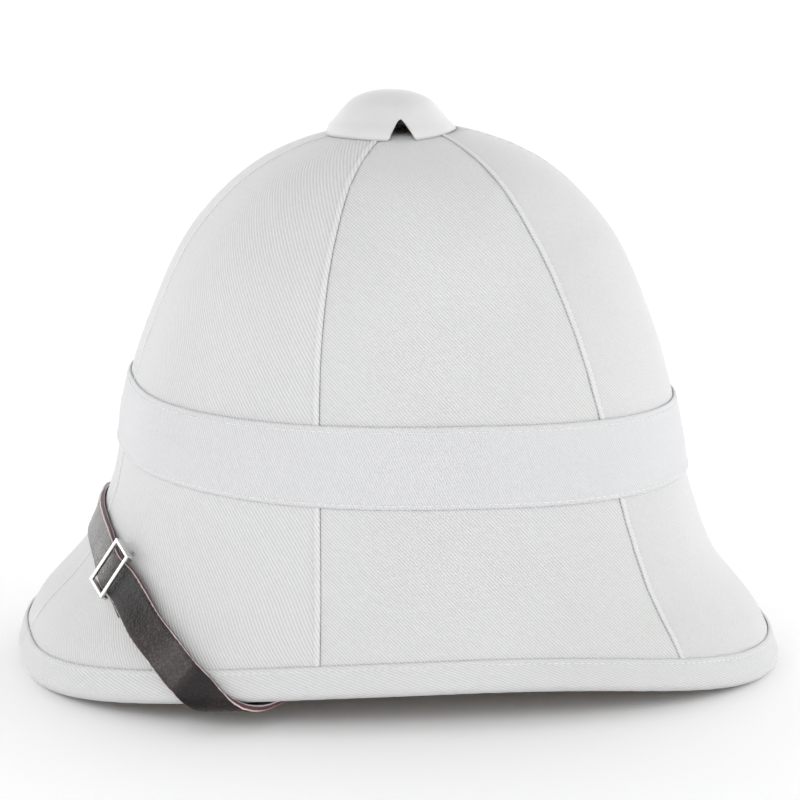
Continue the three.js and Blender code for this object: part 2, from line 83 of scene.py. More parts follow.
BARE_WALL = CLOTH + GAP + CORK
EDGE_RADIUS = BARE_WALL / 2
BINDING_OUT = GAP + CLOTH
EDGE_ARC = math.pi * (EDGE_RADIUS + STRAP_AT_EDGE)
TAU = 2 * math.pi


# Surface of the hat

def radius(column, depth):
    """Radius of the cover at a depth: a cubic through the squared radii."""
    value = RADIUS[column] ** 2
    step = np.diff(DEPTH)
    slope = np.diff(value) / step
    tangent = np.zeros_like(value)
    tangent[1:-1] = (step[:-1] * slope[1:] + step[1:] * slope[:-1]) / (step[:-1] + step[1:])
    tangent[0] = 2 * slope[0] - tangent[1]
    tangent[-1] = 2 * slope[-1] - tangent[-2]
    i = np.clip(np.searchsorted(DEPTH, depth) - 1, 0, len(DEPTH) - 2)
    t = (depth - DEPTH[i]) / step[i]
    squared = (value[i] * (2 * t ** 3 - 3 * t ** 2 + 1)
               + step[i] * tangent[i] * (t ** 3 - 2 * t ** 2 + t)
               + value[i + 1] * (3 * t ** 2 - 2 * t ** 3)
               + step[i] * tangent[i + 1] * (t ** 3 - t ** 2))
    return np.sqrt(np.maximum(squared, 1e-6))


def signed_power(value):
    return np.sign(value) * np.abs(value) ** (2 / SQUARENESS)


def cloth(turn, depth):
    turn, depth = np.broadcast_arrays(np.asarray(turn, float), np.asarray(depth, float))
    reach = np.where(np.cos(turn) >= 0, radius("front", depth), radius("back", depth))
    x = radius("side", depth) * signed_power(np.sin(turn))
    y = -reach * signed_power(np.cos(turn)) + SHIFT_Y
    return np.stack([x, y, CROWN_HEIGHT - depth], -1)


def unit(vector):
    return vector / np.maximum(np.linalg.norm(vector, axis=-1, keepdims=True), 1e-9)


def down(turn, depth):
    return unit(cloth(turn, depth + 0.2) - cloth(turn, np.maximum(depth - 0.2, 0.01)))


def normal(turn, depth):
    around = cloth(turn + 0.01, depth) - cloth(turn - 0.01, depth)
    return unit(np.cross(down(turn, depth), around))


def offset(turn, depth, out):
    out = np.asarray(out, float)
    return cloth(turn, depth) + normal(turn, depth) * out[..., None]


def turn_for(direction, depth):
    """The outline's own parameter for a direction seen from above, in degrees."""
    direction, depth = np.broadcast_arrays(np.asarray(direction, float), depth)
    angle = np.radians(direction)
    reach = np.where(np.cos(angle) >= 0, radius("front", depth), radius("back", depth))
    ratio = np.abs(np.tan(angle)) * reach / radius("side", depth)
    quarter = np.arctan(ratio ** (SQUARENESS / 2))
    half = np.where(np.cos(angle) >= 0, quarter, math.pi - quarter)
    return np.where(direction <= 180, half, TAU - half)


def edge_depth(turn):
    power = np.where(np.cos(turn) >= 0, ARCH_FRONT, ARCH_BACK)
    share = np.abs(np.sin(turn)) ** power
    return CROWN_HEIGHT - ARCH_RISE * np.maximum(0, (share - ARCH_FLAT) / (1 - ARCH_FLAT))


def rounding(turn):
    """Depth at which the face of the brim gives way to its rounded edge."""
    edge = edge_depth(turn)
    lean = normal(turn, edge - 2 * EDGE_RADIUS)[..., 2]
    return edge - EDGE_RADIUS * (1 + lean) - BINDING_OUT + REST_FLAT


def band_line(line, turn):
    return line[0] - line[1] * np.cos(turn) - line[2] * np.cos(2 * turn)


def edge_point(turn, angle, out):
    depth = rounding(turn)
    reach = (EDGE_RADIUS + np.asarray(out, float))[..., None]
    angle = np.asarray(angle, float)[..., None]
    return (offset(turn, depth, -EDGE_RADIUS)
            + normal(turn, depth) * np.cos(angle) * reach
            + down(turn, depth) * np.sin(angle) * reach)


def skin(turn, up, out):
    """Up the outside of the hat, or below zero round the edge and up the inside."""
    turn, up, out = np.broadcast_arrays(np.asarray(turn, float), up, out)
    depth = rounding(turn)
    outside = offset(turn, depth - np.maximum(up, 0), out)
    angle = np.clip(-up / EDGE_ARC, 0, 1) * math.pi
    edge = edge_point(turn, angle, out)
    inside = offset(turn, depth + np.minimum(up + EDGE_ARC, 0), -BARE_WALL - out)
    up = up[..., None]
    return np.where(up >= 0, outside, np.where(up > -EDGE_ARC, edge, inside))


def seam_turn(number, depth):
    crown, brim = SEAMS[number % 6]
    lap = TAU if number >= 6 else 0.0
    return turn_for(crown + (brim - crown) * depth / CROWN_HEIGHT, depth) + lap


def height_over(x, y):
    """Height of the cover over points of the plan, by halving the range of depths."""
    low = np.zeros_like(x)
    high = np.full_like(x, 100.0)
    for _ in range(40):
        depth = (low + high) / 2
        reach = np.where(y <= SHIFT_Y, radius("front", depth), radius("back", depth))
        outside = ((np.abs(x) / radius("side", depth)) ** SQUARENESS
                   + (np.abs(y - SHIFT_Y) / reach) ** SQUARENESS) > 1
        low = np.where(outside, depth, low)
        high = np.where(outside, high, depth)
    return CROWN_HEIGHT - low


def ripple(u, v, size, seed):
    """A smooth unevenness between about -1 and 1, the same each run."""
    rng = np.random.default_rng(seed)
    total = np.zeros(np.broadcast(u, v).shape)
    for _ in range(6):
        angle = rng.uniform(0, TAU)
        wave = rng.uniform(0.6, 1.6) / size
        way = u * math.cos(angle) + v * math.sin(angle)
        total = total + np.sin(TAU * wave * way + rng.uniform(0, TAU))
    return total / 3


# Meshes

def quads(rows, cols, wrap_rows=False, wrap_cols=False):
    r, c = np.meshgrid(np.arange(rows if wrap_rows else rows - 1),
                       np.arange(cols if wrap_cols else cols - 1), indexing="ij")
    r2, c2 = (r + 1) % rows, (c + 1) % cols
    return np.stack([r * cols + c, r2 * cols + c, r2 * cols + c2, r * cols + c2], -1).reshape(-1, 4)


def volume(points, faces):
    a, b, c, d = (points[faces[:, k]] for k in range(4))
    return (np.sum(a * np.cross(b, c)) + np.sum(a * np.cross(c, d))) / 6


def piece(name, points, faces, material, node, uv=None, face_material=None, mark=None):
    """A mesh from points in millimetres and four-sided faces, which rides on the hat."""
    points = np.asarray(points, float).reshape(-1, 3)
    faces = np.asarray(faces)
    if volume(points, faces) < 0:
        faces = faces[:, ::-1]
    mesh = bpy.data.meshes.new(name)
    mesh.from_pydata((points / 1000).tolist(), [], faces.tolist())
    if uv is not None:
        layer = mesh.uv_layers.new(name="cloth")
        loops = np.zeros(len(mesh.loops), dtype=np.int64)
        mesh.loops.foreach_get("vertex_index", loops)
        layer.data.foreach_set("uv", np.asarray(uv, float).reshape(-1, 2)[loops].ravel() / 100)
    if mark is not None:
        layer = mesh.attributes.new("mark", "FLOAT", "POINT")
        layer.data.foreach_set("value", np.asarray(mark, np.float32).ravel())
    mesh.polygons.foreach_set("use_smooth", np.ones(len(mesh.polygons), dtype=bool))
    for entry in material if isinstance(material, list) else [material]:
        mesh.materials.append(entry)
    if face_material is not None:
        mesh.polygons.foreach_set("material_index", np.asarray(face_material, dtype=np.int32))
    mesh.update()
    thing = bpy.data.objects.new(name, mesh)
    bpy.context.collection.objects.link(thing)
    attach(thing, "root")
    if node:
        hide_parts(*([node] if isinstance(node, str) else node))
    return thing


def shell(outer, inner):
    """Points and faces of a closed wall between two grids of one size."""
    rows, cols = outer.shape[:2]
    count = rows * cols
    front = quads(rows, cols)
    back = front[:, ::-1] + count
    grid = np.arange(count).reshape(rows, cols)
    rim = np.concatenate([grid[0, :-1], grid[:-1, -1], grid[-1, :0:-1], grid[:0:-1, 0]])
    after = np.roll(rim, -1)
    side = np.stack([rim, after, after + count, rim + count], -1)
    points = np.concatenate([outer.reshape(-1, 3), inner.reshape(-1, 3)])
    return points, np.concatenate([front, back, side])


def arc_lengths(points):
    steps = np.linalg.norm(np.diff(points, axis=0), axis=1)
    return np.concatenate([[0], np.cumsum(steps)])


def revolve(profile, segments):
    """A closed body from (radius, height) pairs that start and end on the axis or meet."""
    profile = np.asarray(profile, float)
    angle = np.linspace(0, TAU, segments, endpoint=False)
    ring = np.stack([np.outer(np.cos(angle), profile[:, 0]), np.outer(np.sin(angle), profile[:, 0]),
                     np.tile(profile[:, 1], (segments, 1))], -1)
    return ring, quads(segments, len(profile), wrap_rows=True)


# Materials

class Nodes:
    """Short words for building a material out of nodes."""

    def __init__(self, name):
        self.material = bpy.data.materials.new(name)
        self.material.use_nodes = True
        self.tree = self.material.node_tree
        self.shader = self.tree.nodes["Principled BSDF"]

    def add(self, kind, **settings):
        node = self.tree.nodes.new(kind)
        for key, value in settings.items():
            setattr(node, key, value)
        return node

    def link(self, source, target):
        self.tree.links.new(source, target)

    def put(self, target, value):
        if isinstance(value, bpy.types.NodeSocket):
            self.link(value, target)
        else:
            target.default_value = value

    def math(self, operation, a, b=0.0, c=None, clamp=False):
        node = self.add("ShaderNodeMath", operation=operation, use_clamp=clamp)
        self.put(node.inputs[0], a)
        self.put(node.inputs[1], b)
        if c is not None:
            self.put(node.inputs[2], c)
        return node.outputs[0]

    def dot(self, vector, weights):
        node = self.add("ShaderNodeVectorMath", operation="DOT_PRODUCT")
        self.link(vector, node.inputs[0])
        node.inputs[1].default_value = weights
        return node.outputs["Value"]

    def noise(self, vector, scale, detail=3.0, roughness=0.5, distortion=0.0):
        node = self.add("ShaderNodeTexNoise")
        self.link(vector, node.inputs["Vector"])
        node.inputs["Scale"].default_value = scale
        node.inputs["Detail"].default_value = detail
        node.inputs["Roughness"].default_value = roughness
        node.inputs["Distortion"].default_value = distortion
        return node.outputs[0]

    def cells(self, vector, scale):
        node = self.add("ShaderNodeTexVoronoi", feature="F1")
        self.link(vector, node.inputs["Vector"])
        node.inputs["Scale"].default_value = scale
        return node.outputs["Distance"]

    def ramp(self, value, stops):
        node = self.add("ShaderNodeValToRGB")
        self.link(value, node.inputs["Fac"])
        while len(node.color_ramp.elements) < len(stops):
            node.color_ramp.elements.new(0.5)
        for element, (place, colour) in zip(node.color_ramp.elements, stops):
            element.position = place
            element.color = (*colour, 1.0)
        return node.outputs["Color"]

    def bump(self, height, strength, distance, below=None):
        node = self.add("ShaderNodeBump")
        self.link(height, node.inputs["Height"])
        node.inputs["Strength"].default_value = strength
        node.inputs["Distance"].default_value = distance
        if below is not None:
            self.link(below, node.inputs["Normal"])
        return node.outputs["Normal"]

    def finish(self, colour, roughness, surface=None, **sockets):
        self.put(self.shader.inputs["Base Color"], colour)
        self.put(self.shader.inputs["Roughness"], roughness)
        if surface is not None:
            self.link(surface, self.shader.inputs["Normal"])
        for key, value in sockets.items():
            self.shader.inputs[key.replace("_", " ")].default_value = value
        return self.material

    def sheet_place(self):
        """Place on the unrolled cloth, in millimetres, with the third number zero."""
        uv = self.add("ShaderNodeUVMap", uv_map="cloth")
        scale = self.add("ShaderNodeVectorMath", operation="SCALE")
        self.link(uv.outputs["UV"], scale.inputs[0])
        scale.inputs["Scale"].default_value = 100.0
        return scale.outputs[0]

    def place(self):
        return self.add("ShaderNodeTexCoord").outputs["Object"]


def twill(name, colour, angle, pitch, tint=None, contrast=0.80, strength=0.5):
    """White twill: diagonal ribs of one pitch in millimetres, crossed by the single yarns.

    The mesh may carry marks: painted highlight above zero where an edge catches the light, painted
    shade below it in a seam.
    """
    n = Nodes(name)
    sheet = n.sheet_place()
    bend = n.noise(sheet, 0.035, 2.0)
    c, s = math.cos(math.radians(angle)), math.sin(math.radians(angle))
    across = n.dot(sheet, (-s * TAU / pitch, c * TAU / pitch, 0))
    along = n.dot(sheet, (c * TAU / (pitch * 0.7), s * TAU / (pitch * 0.7), 0))
    rib = n.math("SINE", n.math("MULTIPLY_ADD", bend, 4.0, across))
    yarn = n.math("SINE", n.math("ADD", along, n.math("MULTIPLY", across, 0.5)))
    slub = n.math("SUBTRACT", n.noise(sheet, 0.55, 3.0, 0.6), 0.5)
    height = n.math("MULTIPLY_ADD", slub, 1.1, n.math("MULTIPLY_ADD", yarn, 0.18, rib))
    level = n.math("MULTIPLY_ADD", height, 0.23, 0.55, clamp=True)
    broad = n.math("SUBTRACT", n.noise(n.place(), 14.0, 2.0), 0.5)
    level = n.math("MULTIPLY_ADD", broad, 0.25, level)
    # The mark paints highlight above zero and shade below it onto the cloth
    mark = n.add("ShaderNodeAttribute", attribute_name="mark").outputs["Fac"]
    level = n.math("MULTIPLY_ADD", mark, 0.5, level, clamp=True)
    deep = tuple(v * contrast for v in (tint or colour))
    paint = n.ramp(level, [(0.0, tuple(v * 0.62 for v in colour)), (0.30, deep),
                           (0.80, colour), (1.0, tuple(v * 1.10 for v in colour))])
    pucker = n.bump(n.noise(sheet, 0.05, 2.0), 0.20, 0.0012)
    surface = n.bump(height, strength, 0.00014, pucker)
    return n.finish(paint, 0.88, surface, Sheen_Weight=0.10, Sheen_Roughness=0.5,
                    Specular_IOR_Level=0.2)


def plain_white(name, colour):
    """Thin smooth white cloth stretched over the cap."""
    n = Nodes(name)
    place = n.place()
    level = n.noise(place, 60.0, 4.0, 0.6)
    paint = n.ramp(level, [(0.3, tuple(v * 0.955 for v in colour)), (0.7, colour)])
    surface = n.bump(n.noise(place, 900.0, 2.0), 0.25, 0.0002, n.bump(level, 0.3, 0.0004))
    return n.finish(paint, 0.7, surface, Sheen_Weight=0.08, Specular_IOR_Level=0.3)


def leather(name):
    """Dark brown pebble-grained leather, with painted sheen in warm grey where the mesh is marked above
    zero and painted shade below it.
    """
    n = Nodes(name)
    place = n.place()
    pebbles = n.cells(place, 1000.0)
    fine = n.cells(place, 2300.0)
    creases = n.noise(place, 210.0, 5.0, 0.65, 1.2)
    patches = n.noise(place, 60.0, 3.0, 0.6)
    # The mark paints sheen above zero and shade below it onto the leather
    mark = n.add("ShaderNodeAttribute", attribute_name="mark").outputs["Fac"]
    level = n.math("MULTIPLY_ADD", mark, 0.33, n.math("MULTIPLY_ADD", patches, 0.30, 0.22))
    level = n.math("MULTIPLY_ADD", n.math("SUBTRACT", pebbles, 0.35), 0.30, level, clamp=True)
    paint = n.ramp(level, [(0.05, (0.004, 0.002, 0.002)), (0.40, (0.020, 0.013, 0.012)),
                           (0.70, (0.070, 0.061, 0.058)), (1.0, (0.135, 0.122, 0.117))])
    height = n.math("ADD", n.math("MULTIPLY", pebbles, 0.7), n.math("MULTIPLY", fine, 0.3))
    surface = n.bump(creases, 0.6, 0.0007, n.bump(patches, 0.25, 0.001))
    surface = n.bump(height, 0.55, 0.0006, surface)
    gloss = n.math("MULTIPLY_ADD", creases, 0.24, 0.14)
    return n.finish(paint, gloss, surface, Specular_IOR_Level=0.30)


def leather_edge(name):
    """Cut edge of the strap: its layers and painted shade at its foot run along it, seen through the
    second texture number.
    """
    n = Nodes(name)
    sheet = n.sheet_place()
    across = n.dot(sheet, (0, 1.0, 0))
    wander = n.math("MULTIPLY", n.math("SUBTRACT", n.noise(sheet, 0.35, 3.0), 0.5), 0.18)
    level = n.math("ADD", n.math("MULTIPLY", across, 1 / STRAP_THICK), wander)
    paint = n.ramp(level, [
        # The lowest stops, at the foot against the cloth, are painted shade of the gap under the strap
        (0.0, (0.02, 0.014, 0.014)), (0.12, (0.05, 0.03, 0.035)), (0.20, (0.62, 0.56, 0.60)),
        (0.32, (0.085, 0.022, 0.030)), (0.74, (0.07, 0.018, 0.026)), (0.84, (0.62, 0.52, 0.48)),
        (0.92, (0.66, 0.57, 0.52)), (0.97, (0.05, 0.035, 0.032))])
    surface = n.bump(n.noise(sheet, 1.6, 4.0, 0.7), 0.5, 0.0004)
    return n.finish(paint, 0.55, surface)


def chrome(name, colour=(0.72, 0.71, 0.70), rough=0.16):
    n = Nodes(name)
    place = n.place()
    smears = n.noise(place, 420.0, 4.0, 0.6)
    pits = n.noise(place, 2400.0, 2.0)
    paint = n.ramp(smears, [(0.25, tuple(v * 0.86 for v in colour)), (0.75, colour)])
    gloss = n.math("MULTIPLY_ADD", smears, 0.14, rough - 0.05)
    surface = n.bump(pits, 0.12, 0.0002, n.bump(smears, 0.10, 0.0004))
    return n.finish(paint, gloss, surface, Metallic=1.0)


def cork(name):
    """Ground and pressed cork: grains of several sizes with dark flecks between them."""
    n = Nodes(name)
    place = n.place()
    grains = n.cells(place, 330.0)
    small = n.cells(place, 900.0)
    tone = n.noise(place, 160.0, 4.0, 0.7)
    paint = n.ramp(tone, [(0.28, (0.26, 0.16, 0.09)), (0.45, (0.52, 0.37, 0.22)),
                          (0.7, (0.66, 0.50, 0.33))])
    surface = n.bump(n.math("ADD", grains, n.math("MULTIPLY", small, 0.5)), 0.6, 0.0008)
    return n.finish(paint, 0.93, surface, Specular_IOR_Level=0.2)


def floor_material(name):
    n = Nodes(name)
    level = n.noise(n.place(), 3.0, 2.0)
    paint = n.ramp(level, [(0.3, (0.965, 0.965, 0.965)), (0.7, (0.98, 0.98, 0.98))])
    return n.finish(paint, 0.9)


COVER = twill("cover_twill", (0.66, 0.66, 0.662), 52.0, 1.22, contrast=0.78)
BAND = twill("band_twill", (0.66, 0.66, 0.668), 64.0, 1.0, tint=(0.635, 0.635, 0.655), contrast=0.84)
BINDING = twill("binding_twill", (0.64, 0.64, 0.643), 22.0, 1.1, tint=(0.62, 0.62, 0.63), contrast=0.86)
THREAD = plain_white("stitch_thread", (0.70, 0.70, 0.70))
CAP = plain_white("cap_cloth", (0.61, 0.61, 0.61))
LEATHER = leather("strap_leather")
LEATHER_EDGE = leather_edge("strap_edge")
CHROME = chrome("buckle_chrome", (0.66, 0.655, 0.64), 0.13)
PLATED = chrome("plated_metal", (0.66, 0.65, 0.63), 0.25)
CORK_GRAIN = cork("pressed_cork")


# The cover: six panels, with the front and back ones lapped over the side ones

SEAM_STEPS = np.array([0.0, 0.25, 0.55, 0.95, 1.5, 2.05, 2.45, 2.85, 3.4, 4.2])
# How close to a seam the outermost row of points comes
SEAM_EDGE = 0.05
LAPS_OVER = {0: (True, True), 1: (False, False), 2: (True, True),
             3: (False, True), 4: (False, False), 5: (True, False)}


def seam_relief(distance, laps):
    """Height of the cloth near a seam: a turned edge lies over, and its neighbour dips."""
    if laps:
        fold = 1 - np.clip((distance - 2.2) / 0.6, 0, 1)
        top = 0.42 * fold - 0.32 * np.exp(-(distance / 0.28) ** 2)
        return top - 0.10 * np.exp(-((distance - 2.75) / 0.25) ** 2)
    return -0.18 * np.exp(-(distance / 0.5) ** 2) - 0.12 * np.exp(-(distance / 2.0) ** 2)


def seam_shade_and_highlight(distance, laps):
    """Painted light near a seam: a dark line of painted shade, with a pale strip of painted highlight
    beside it on the upper panel.
    """
    line = -0.50 * np.exp(-(distance / 0.28) ** 2)
    if not laps:
        return line - 0.12 * np.exp(-(distance / 0.8) ** 2)
    strip = 0.34 * np.clip((distance - 0.35) / 0.3, 0, 1)
    strip = strip * (1 - np.clip((distance - 2.3) / 0.4, 0, 1))
    return line + strip - 0.20 * np.exp(-((distance - 2.85) / 0.25) ** 2)


def panel_rows():
    return np.concatenate([np.linspace(0.006, 0.05, 7)[:-1], np.linspace(0.05, 0.30, 26)[:-1],
                           np.linspace(0.30, 0.90, 60)[:-1], np.linspace(0.90, 1.0, 12)])


def cover_panel(number):
    outer, inner, sheet, marks = [], [], [], []
    laps_left, laps_right = LAPS_OVER[number]
    middle = seam_turn(number, 150.0) * 0.5 + seam_turn(number + 1, 150.0) * 0.5
    end = rounding(middle)
    spine = cloth(np.full(200, middle), np.linspace(0.01, end, 200))
    spine_length = arc_lengths(spine)
    for share in panel_rows():
        ends = [float(seam_turn(number + k, share * end)) for k in (0, 1)]
        depths = share * rounding(np.linspace(ends[0], ends[1], 241))
        left = float(seam_turn(number, depths[0]))
        right = float(seam_turn(number + 1, depths[-1]))
        bend = np.linspace(0, 1, 241)
        turns = left + (right - left) * (0.5 - 0.5 * np.cos(math.pi * bend))
        depths = share * rounding(turns)
        row = cloth(turns, depths)
        length = arc_lengths(row)
        whole = length[-1]
        near = np.minimum(SEAM_STEPS, whole * 0.45 * SEAM_STEPS / SEAM_STEPS[-1])
        near[0] = SEAM_EDGE
        between = np.linspace(near[-1], whole - near[-1], 34)[1:-1]
        places = np.concatenate([near, between, whole - near[::-1]])
        places = np.clip(places, SEAM_EDGE, whole - SEAM_EDGE)
        t = np.interp(places, length, turns)
        d = np.interp(places, length, depths)
        v = np.interp(d, np.linspace(0.01, end, 200), spine_length)
        u = places - whole / 2
        fade = np.clip(whole / 30, 0.25, 1)
        lift = fade * (seam_relief(places, laps_left) + seam_relief(whole - places, laps_right))
        lift = lift + 0.10 * ripple(u, v, 60.0, 5 + number)
        pull = np.exp(-np.minimum(places, whole - places) / 9.0)
        lift = lift + 0.10 * pull * np.sin(v / 2.3 + 1.3 * np.sin(v / 17.0))
        at_edge = (places < 0.2) | (places > whole - 0.2)
        inside = np.where(at_edge, -0.95, -CLOTH)
        outer.append(offset(t, d, lift))
        inner.append(offset(t, d, inside))
        sheet.append(np.stack([u, v], -1))
        # Painted shade in each seam, and painted highlight on the turned edge beside it
        tone = seam_shade_and_highlight(places, laps_left) + seam_shade_and_highlight(whole - places, laps_right)
        marks.append(fade * tone)
    outer, inner, sheet = np.array(outer), np.array(inner), np.array(sheet)
    points, faces = shell(outer, inner)
    uv = np.concatenate([sheet.reshape(-1, 2)] * 2)
    name = PANELS[number]
    mark = np.concatenate([np.ravel(marks)] * 2)
    return piece("cloth_" + name, points, faces, COVER, name, uv, mark=mark)


for index in range(6):
    cover_panel(index)


# The moulded cork body, open below, with the hole for the vent

def plan_to_surface(x, y, out):
    depth = CROWN_HEIGHT - height_over(x, y)
    direction = np.degrees(np.arctan2(x, -(y - SHIFT_Y))) % 360
    return offset(turn_for(direction, np.maximum(depth, 0.02)), np.maximum(depth, 0.02), out)


def cork_body():
    turns = np.linspace(0, TAU, 193)[:-1]
    start_depth = 6.0
    first = cloth(turns, np.full_like(turns, start_depth))
    angle = np.arctan2(first[:, 1] - VENT_Y, first[:, 0])
    hole = np.stack([VENT_HOLE * np.cos(angle), VENT_Y + VENT_HOLE * np.sin(angle)], -1)
    loops = []
    for out in (-BINDING_OUT, -BARE_WALL):
        rows = []
        for share in np.linspace(0, 1, 9)[:-1]:
            plan = hole * (1 - share) + first[:, :2] * share
            rows.append(plan_to_surface(plan[:, 0], plan[:, 1], out))
        end = rounding(turns)
        for share in np.linspace(0, 1, 64 if out == -BARE_WALL else 24):
            rows.append(offset(turns, start_depth + (end - start_depth) * share, out))
        loops.append(rows)
    outside, inside = loops
    depth = rounding(turns)
    centre = offset(turns, depth, -BINDING_OUT - CORK / 2)
    sideways, downwards = normal(turns, depth), down(turns, depth)
    for a in np.radians((30, 60, 90, 120, 150)):
        outside.append(centre + (sideways * math.cos(a) + downwards * math.sin(a)) * CORK / 2)
    ring = np.array(outside + inside[::-1])
    faces = quads(len(ring), len(turns), wrap_rows=True, wrap_cols=True)
    return piece("moulded_cork", ring, faces, CORK_GRAIN, "cork_body")


cork_body()


# The band round the crown and the binding of the brim

def even_turns(count, depth_of):
    """Turns that are evenly spaced along the hat at the depths that depth_of gives."""
    fine = np.linspace(0, TAU, 4001)
    fine = fine - 0.22 * np.sin(4 * fine) / 4
    length = arc_lengths(cloth(fine, depth_of(fine)))
    want = np.linspace(0, length[-1], count + 1)[:-1]
    return np.interp(want, length, fine), want


def hat_band():
    turns, along = even_turns(560, lambda t: band_line(BAND_BOTTOM, t))
    top, bottom = band_line(BAND_TOP, turns), band_line(BAND_BOTTOM, turns)
    loops, sheet = [], []
    shares = np.concatenate([[0.0, 0.012, 0.035], np.linspace(0.07, 0.93, 26), [0.965, 0.988, 1.0]])
    for share in shares:
        depth = top + (bottom - top) * share
        v = share * BAND_HEIGHT
        rest = BAND_HEIGHT - v
        lift = np.full_like(turns, GAP + CLOTH)
        lift = lift - 0.55 * max(0.0, 1 - v / 0.7) ** 2 - 0.45 * max(0.0, 1 - rest / 0.7) ** 2
        lift = lift + 0.20 * math.exp(-(v - 1.3) ** 2)
        lift = lift - 0.16 * math.exp(-((v - 2.5) / 0.5) ** 2)
        lift = lift + 0.22 * math.exp(-((rest - 0.8) / 0.8) ** 2)
        lift = lift - 0.16 * math.exp(-((rest - 1.9) / 0.5) ** 2)
        folds = ripple(along / 3.2, np.full_like(along, v * 1.9), 26.0, 31)
        lift = lift + 0.16 * folds * math.sin(math.pi * share)
        crease = 17.5 + 2.5 * ripple(along, 0.0, 120.0, 8)
        lift = lift + 0.22 * np.exp(-((v - crease) / 1.3) ** 2)
        loops.append(offset(turns, depth, lift))
        sheet.append(np.stack([along, np.full_like(along, v)], -1))
    for share in (1.0, 0.5, 0.0):
        depth = top + (bottom - top) * share
        loops.append(offset(turns, depth, np.full_like(turns, GAP)))
        sheet.append(np.stack([along, np.full_like(along, share * BAND_HEIGHT)], -1))
    faces = quads(len(loops), len(turns), wrap_rows=True, wrap_cols=True)
    return piece("cloth_band", np.array(loops), faces, BAND, "hat_band",
                 np.array(sheet))


hat_band()


# Way down from the binding's top line, and height over the cover, of its turned upper edge
BINDING_FOLD = [(0, 0.55), (0.25, 0.95), (0.7, 1.38), (1.4, 1.42), (2.1, 1.22), (3.0, 1.32)]
BINDING_INNER_EDGE = [(3.0, BINDING_OUT), (7.4, BINDING_OUT), (8.0, 0.8), (8.0, GAP), (3.0, GAP)]


def brim_binding():
    turns, along = even_turns(720, rounding)
    depth = rounding(turns)
    loops, sheet = [], []
    for from_top, out in BINDING_FOLD:
        up = from_top - BINDING_OUTSIDE
        lift = out + 0.05 * ripple(along, up, 14.0, 3)
        loops.append(offset(turns, depth + up, lift))
        sheet.append(np.stack([along, np.full_like(along, up)], -1))
    fold_radius = EDGE_RADIUS + BINDING_OUT
    for angle in np.radians(np.linspace(0, 180, 17)):
        out = BINDING_OUT + 0.10 * np.sin(angle) * ripple(along / 1.5, angle * 6.0, 9.0, 4)
        out = np.minimum(out, BINDING_OUT + 0.02)
        loops.append(edge_point(turns, np.full_like(turns, angle), out))
        sheet.append(np.stack([along, np.full_like(along, angle * fold_radius)], -1))
    end = math.pi * fold_radius
    for up, out in BINDING_INNER_EDGE:
        loops.append(offset(turns, depth - up, np.full_like(turns, -BARE_WALL - out)))
        sheet.append(np.stack([along, np.full_like(along, end + up)], -1))
    for angle in np.radians(np.linspace(180, 0, 7)):
        loops.append(edge_point(turns, np.full_like(turns, angle), GAP))
        sheet.append(np.stack([along, np.full_like(along, angle * 4)], -1))
    loops.append(offset(turns, depth - BINDING_OUTSIDE, np.full_like(turns, GAP)))
    sheet.append(np.stack([along, np.full_like(along, -BINDING_OUTSIDE)], -1))
    loops = np.array(loops)
    loops[..., 2] = np.maximum(loops[..., 2], 0.0)
    faces = quads(len(loops), len(turns), wrap_rows=True, wrap_cols=True)
    return piece("cloth_binding", loops, faces, BINDING, "brim_binding",
                 np.array(sheet))


brim_binding()


# Sewing: rows of single stitches lying on the cloth

# Place along a stitch as a share of its length, its width and its rise as shares of its thickness
STITCH_PROFILE = [(-0.5, 0.0, -0.5), (-0.42, 0.6, -0.2), (-0.2, 1.0, 0.1),
                  (0.2, 1.0, 0.1), (0.42, 0.6, -0.2), (0.5, 0.0, -0.5)]


def stitches(name, points, normals, length, pitch, thick, slot, lift, jitter, seed):
    run = arc_lengths(points)
    rng = np.random.default_rng(seed)
    centres = np.arange(pitch / 2, run[-1], pitch)
    centres = centres + rng.uniform(-jitter, jitter, len(centres))
    ring = np.radians(np.arange(0, 360, 60))
    verts, faces = [], []

    def sample(field, s):
        return np.array([np.interp(s, run, field[:, k]) for k in range(3)])

    for s in centres:
        ends = [sample(points, np.clip(s + k * length, 0, run[-1])) for k in (-0.5, 0.5)]
        along = ends[1] - ends[0]
        size = np.linalg.norm(along)
        if size < 0.3 * length:
            continue
        along = along / size
        off = sample(normals, s)
        off = off - along * (off @ along)
        off = off / np.linalg.norm(off)
        side = np.cross(off, along)
        base = len(verts)
        middle = sample(points, s)
        for at, wide, rise in STITCH_PROFILE:
            for a in ring:
                verts.append(middle + along * at * length + side * math.cos(a) * thick * wide
                             + off * (math.sin(a) * thick * wide * 0.7 + lift + rise * thick * 0.6))
        count = len(ring)
        for i in range(len(STITCH_PROFILE) - 1):
            for j in range(count):
                k = (j + 1) % count
                faces.append((base + i * count + j, base + (i + 1) * count + j,
                              base + (i + 1) * count + k, base + i * count + k))
    return piece(name, np.array(verts), np.array(faces), THREAD, None)


def row_on_band(line, shift):
    turns, _ = even_turns(900, lambda t: band_line(line, t))
    turns = np.append(turns, turns[0] + TAU)
    depth = band_line(line, turns) + shift
    return offset(turns, depth, np.full_like(turns, GAP + CLOTH)), normal(turns, depth)


for edge, line, shift, seed in (("top", BAND_TOP, 2.5, 11), ("bottom", BAND_BOTTOM, -1.7, 12)):
    stitches("stitches_band_" + edge, *row_on_band(line, shift), 2.3, 3.1, 0.30,
             "band_cloth", 0.02, 0.15, seed)

edge_turns, _ = even_turns(1200, rounding)
edge_turns = np.append(edge_turns, edge_turns[0] + TAU)
edge_row = rounding(edge_turns) - BINDING_OUTSIDE + 2.1
stitches("stitches_binding", offset(edge_turns, edge_row, np.full_like(edge_turns, BINDING_OUT)),
         normal(edge_turns, edge_row), 2.2, 3.0, 0.22, "binding_cloth", 0.0, 0.12, 13)


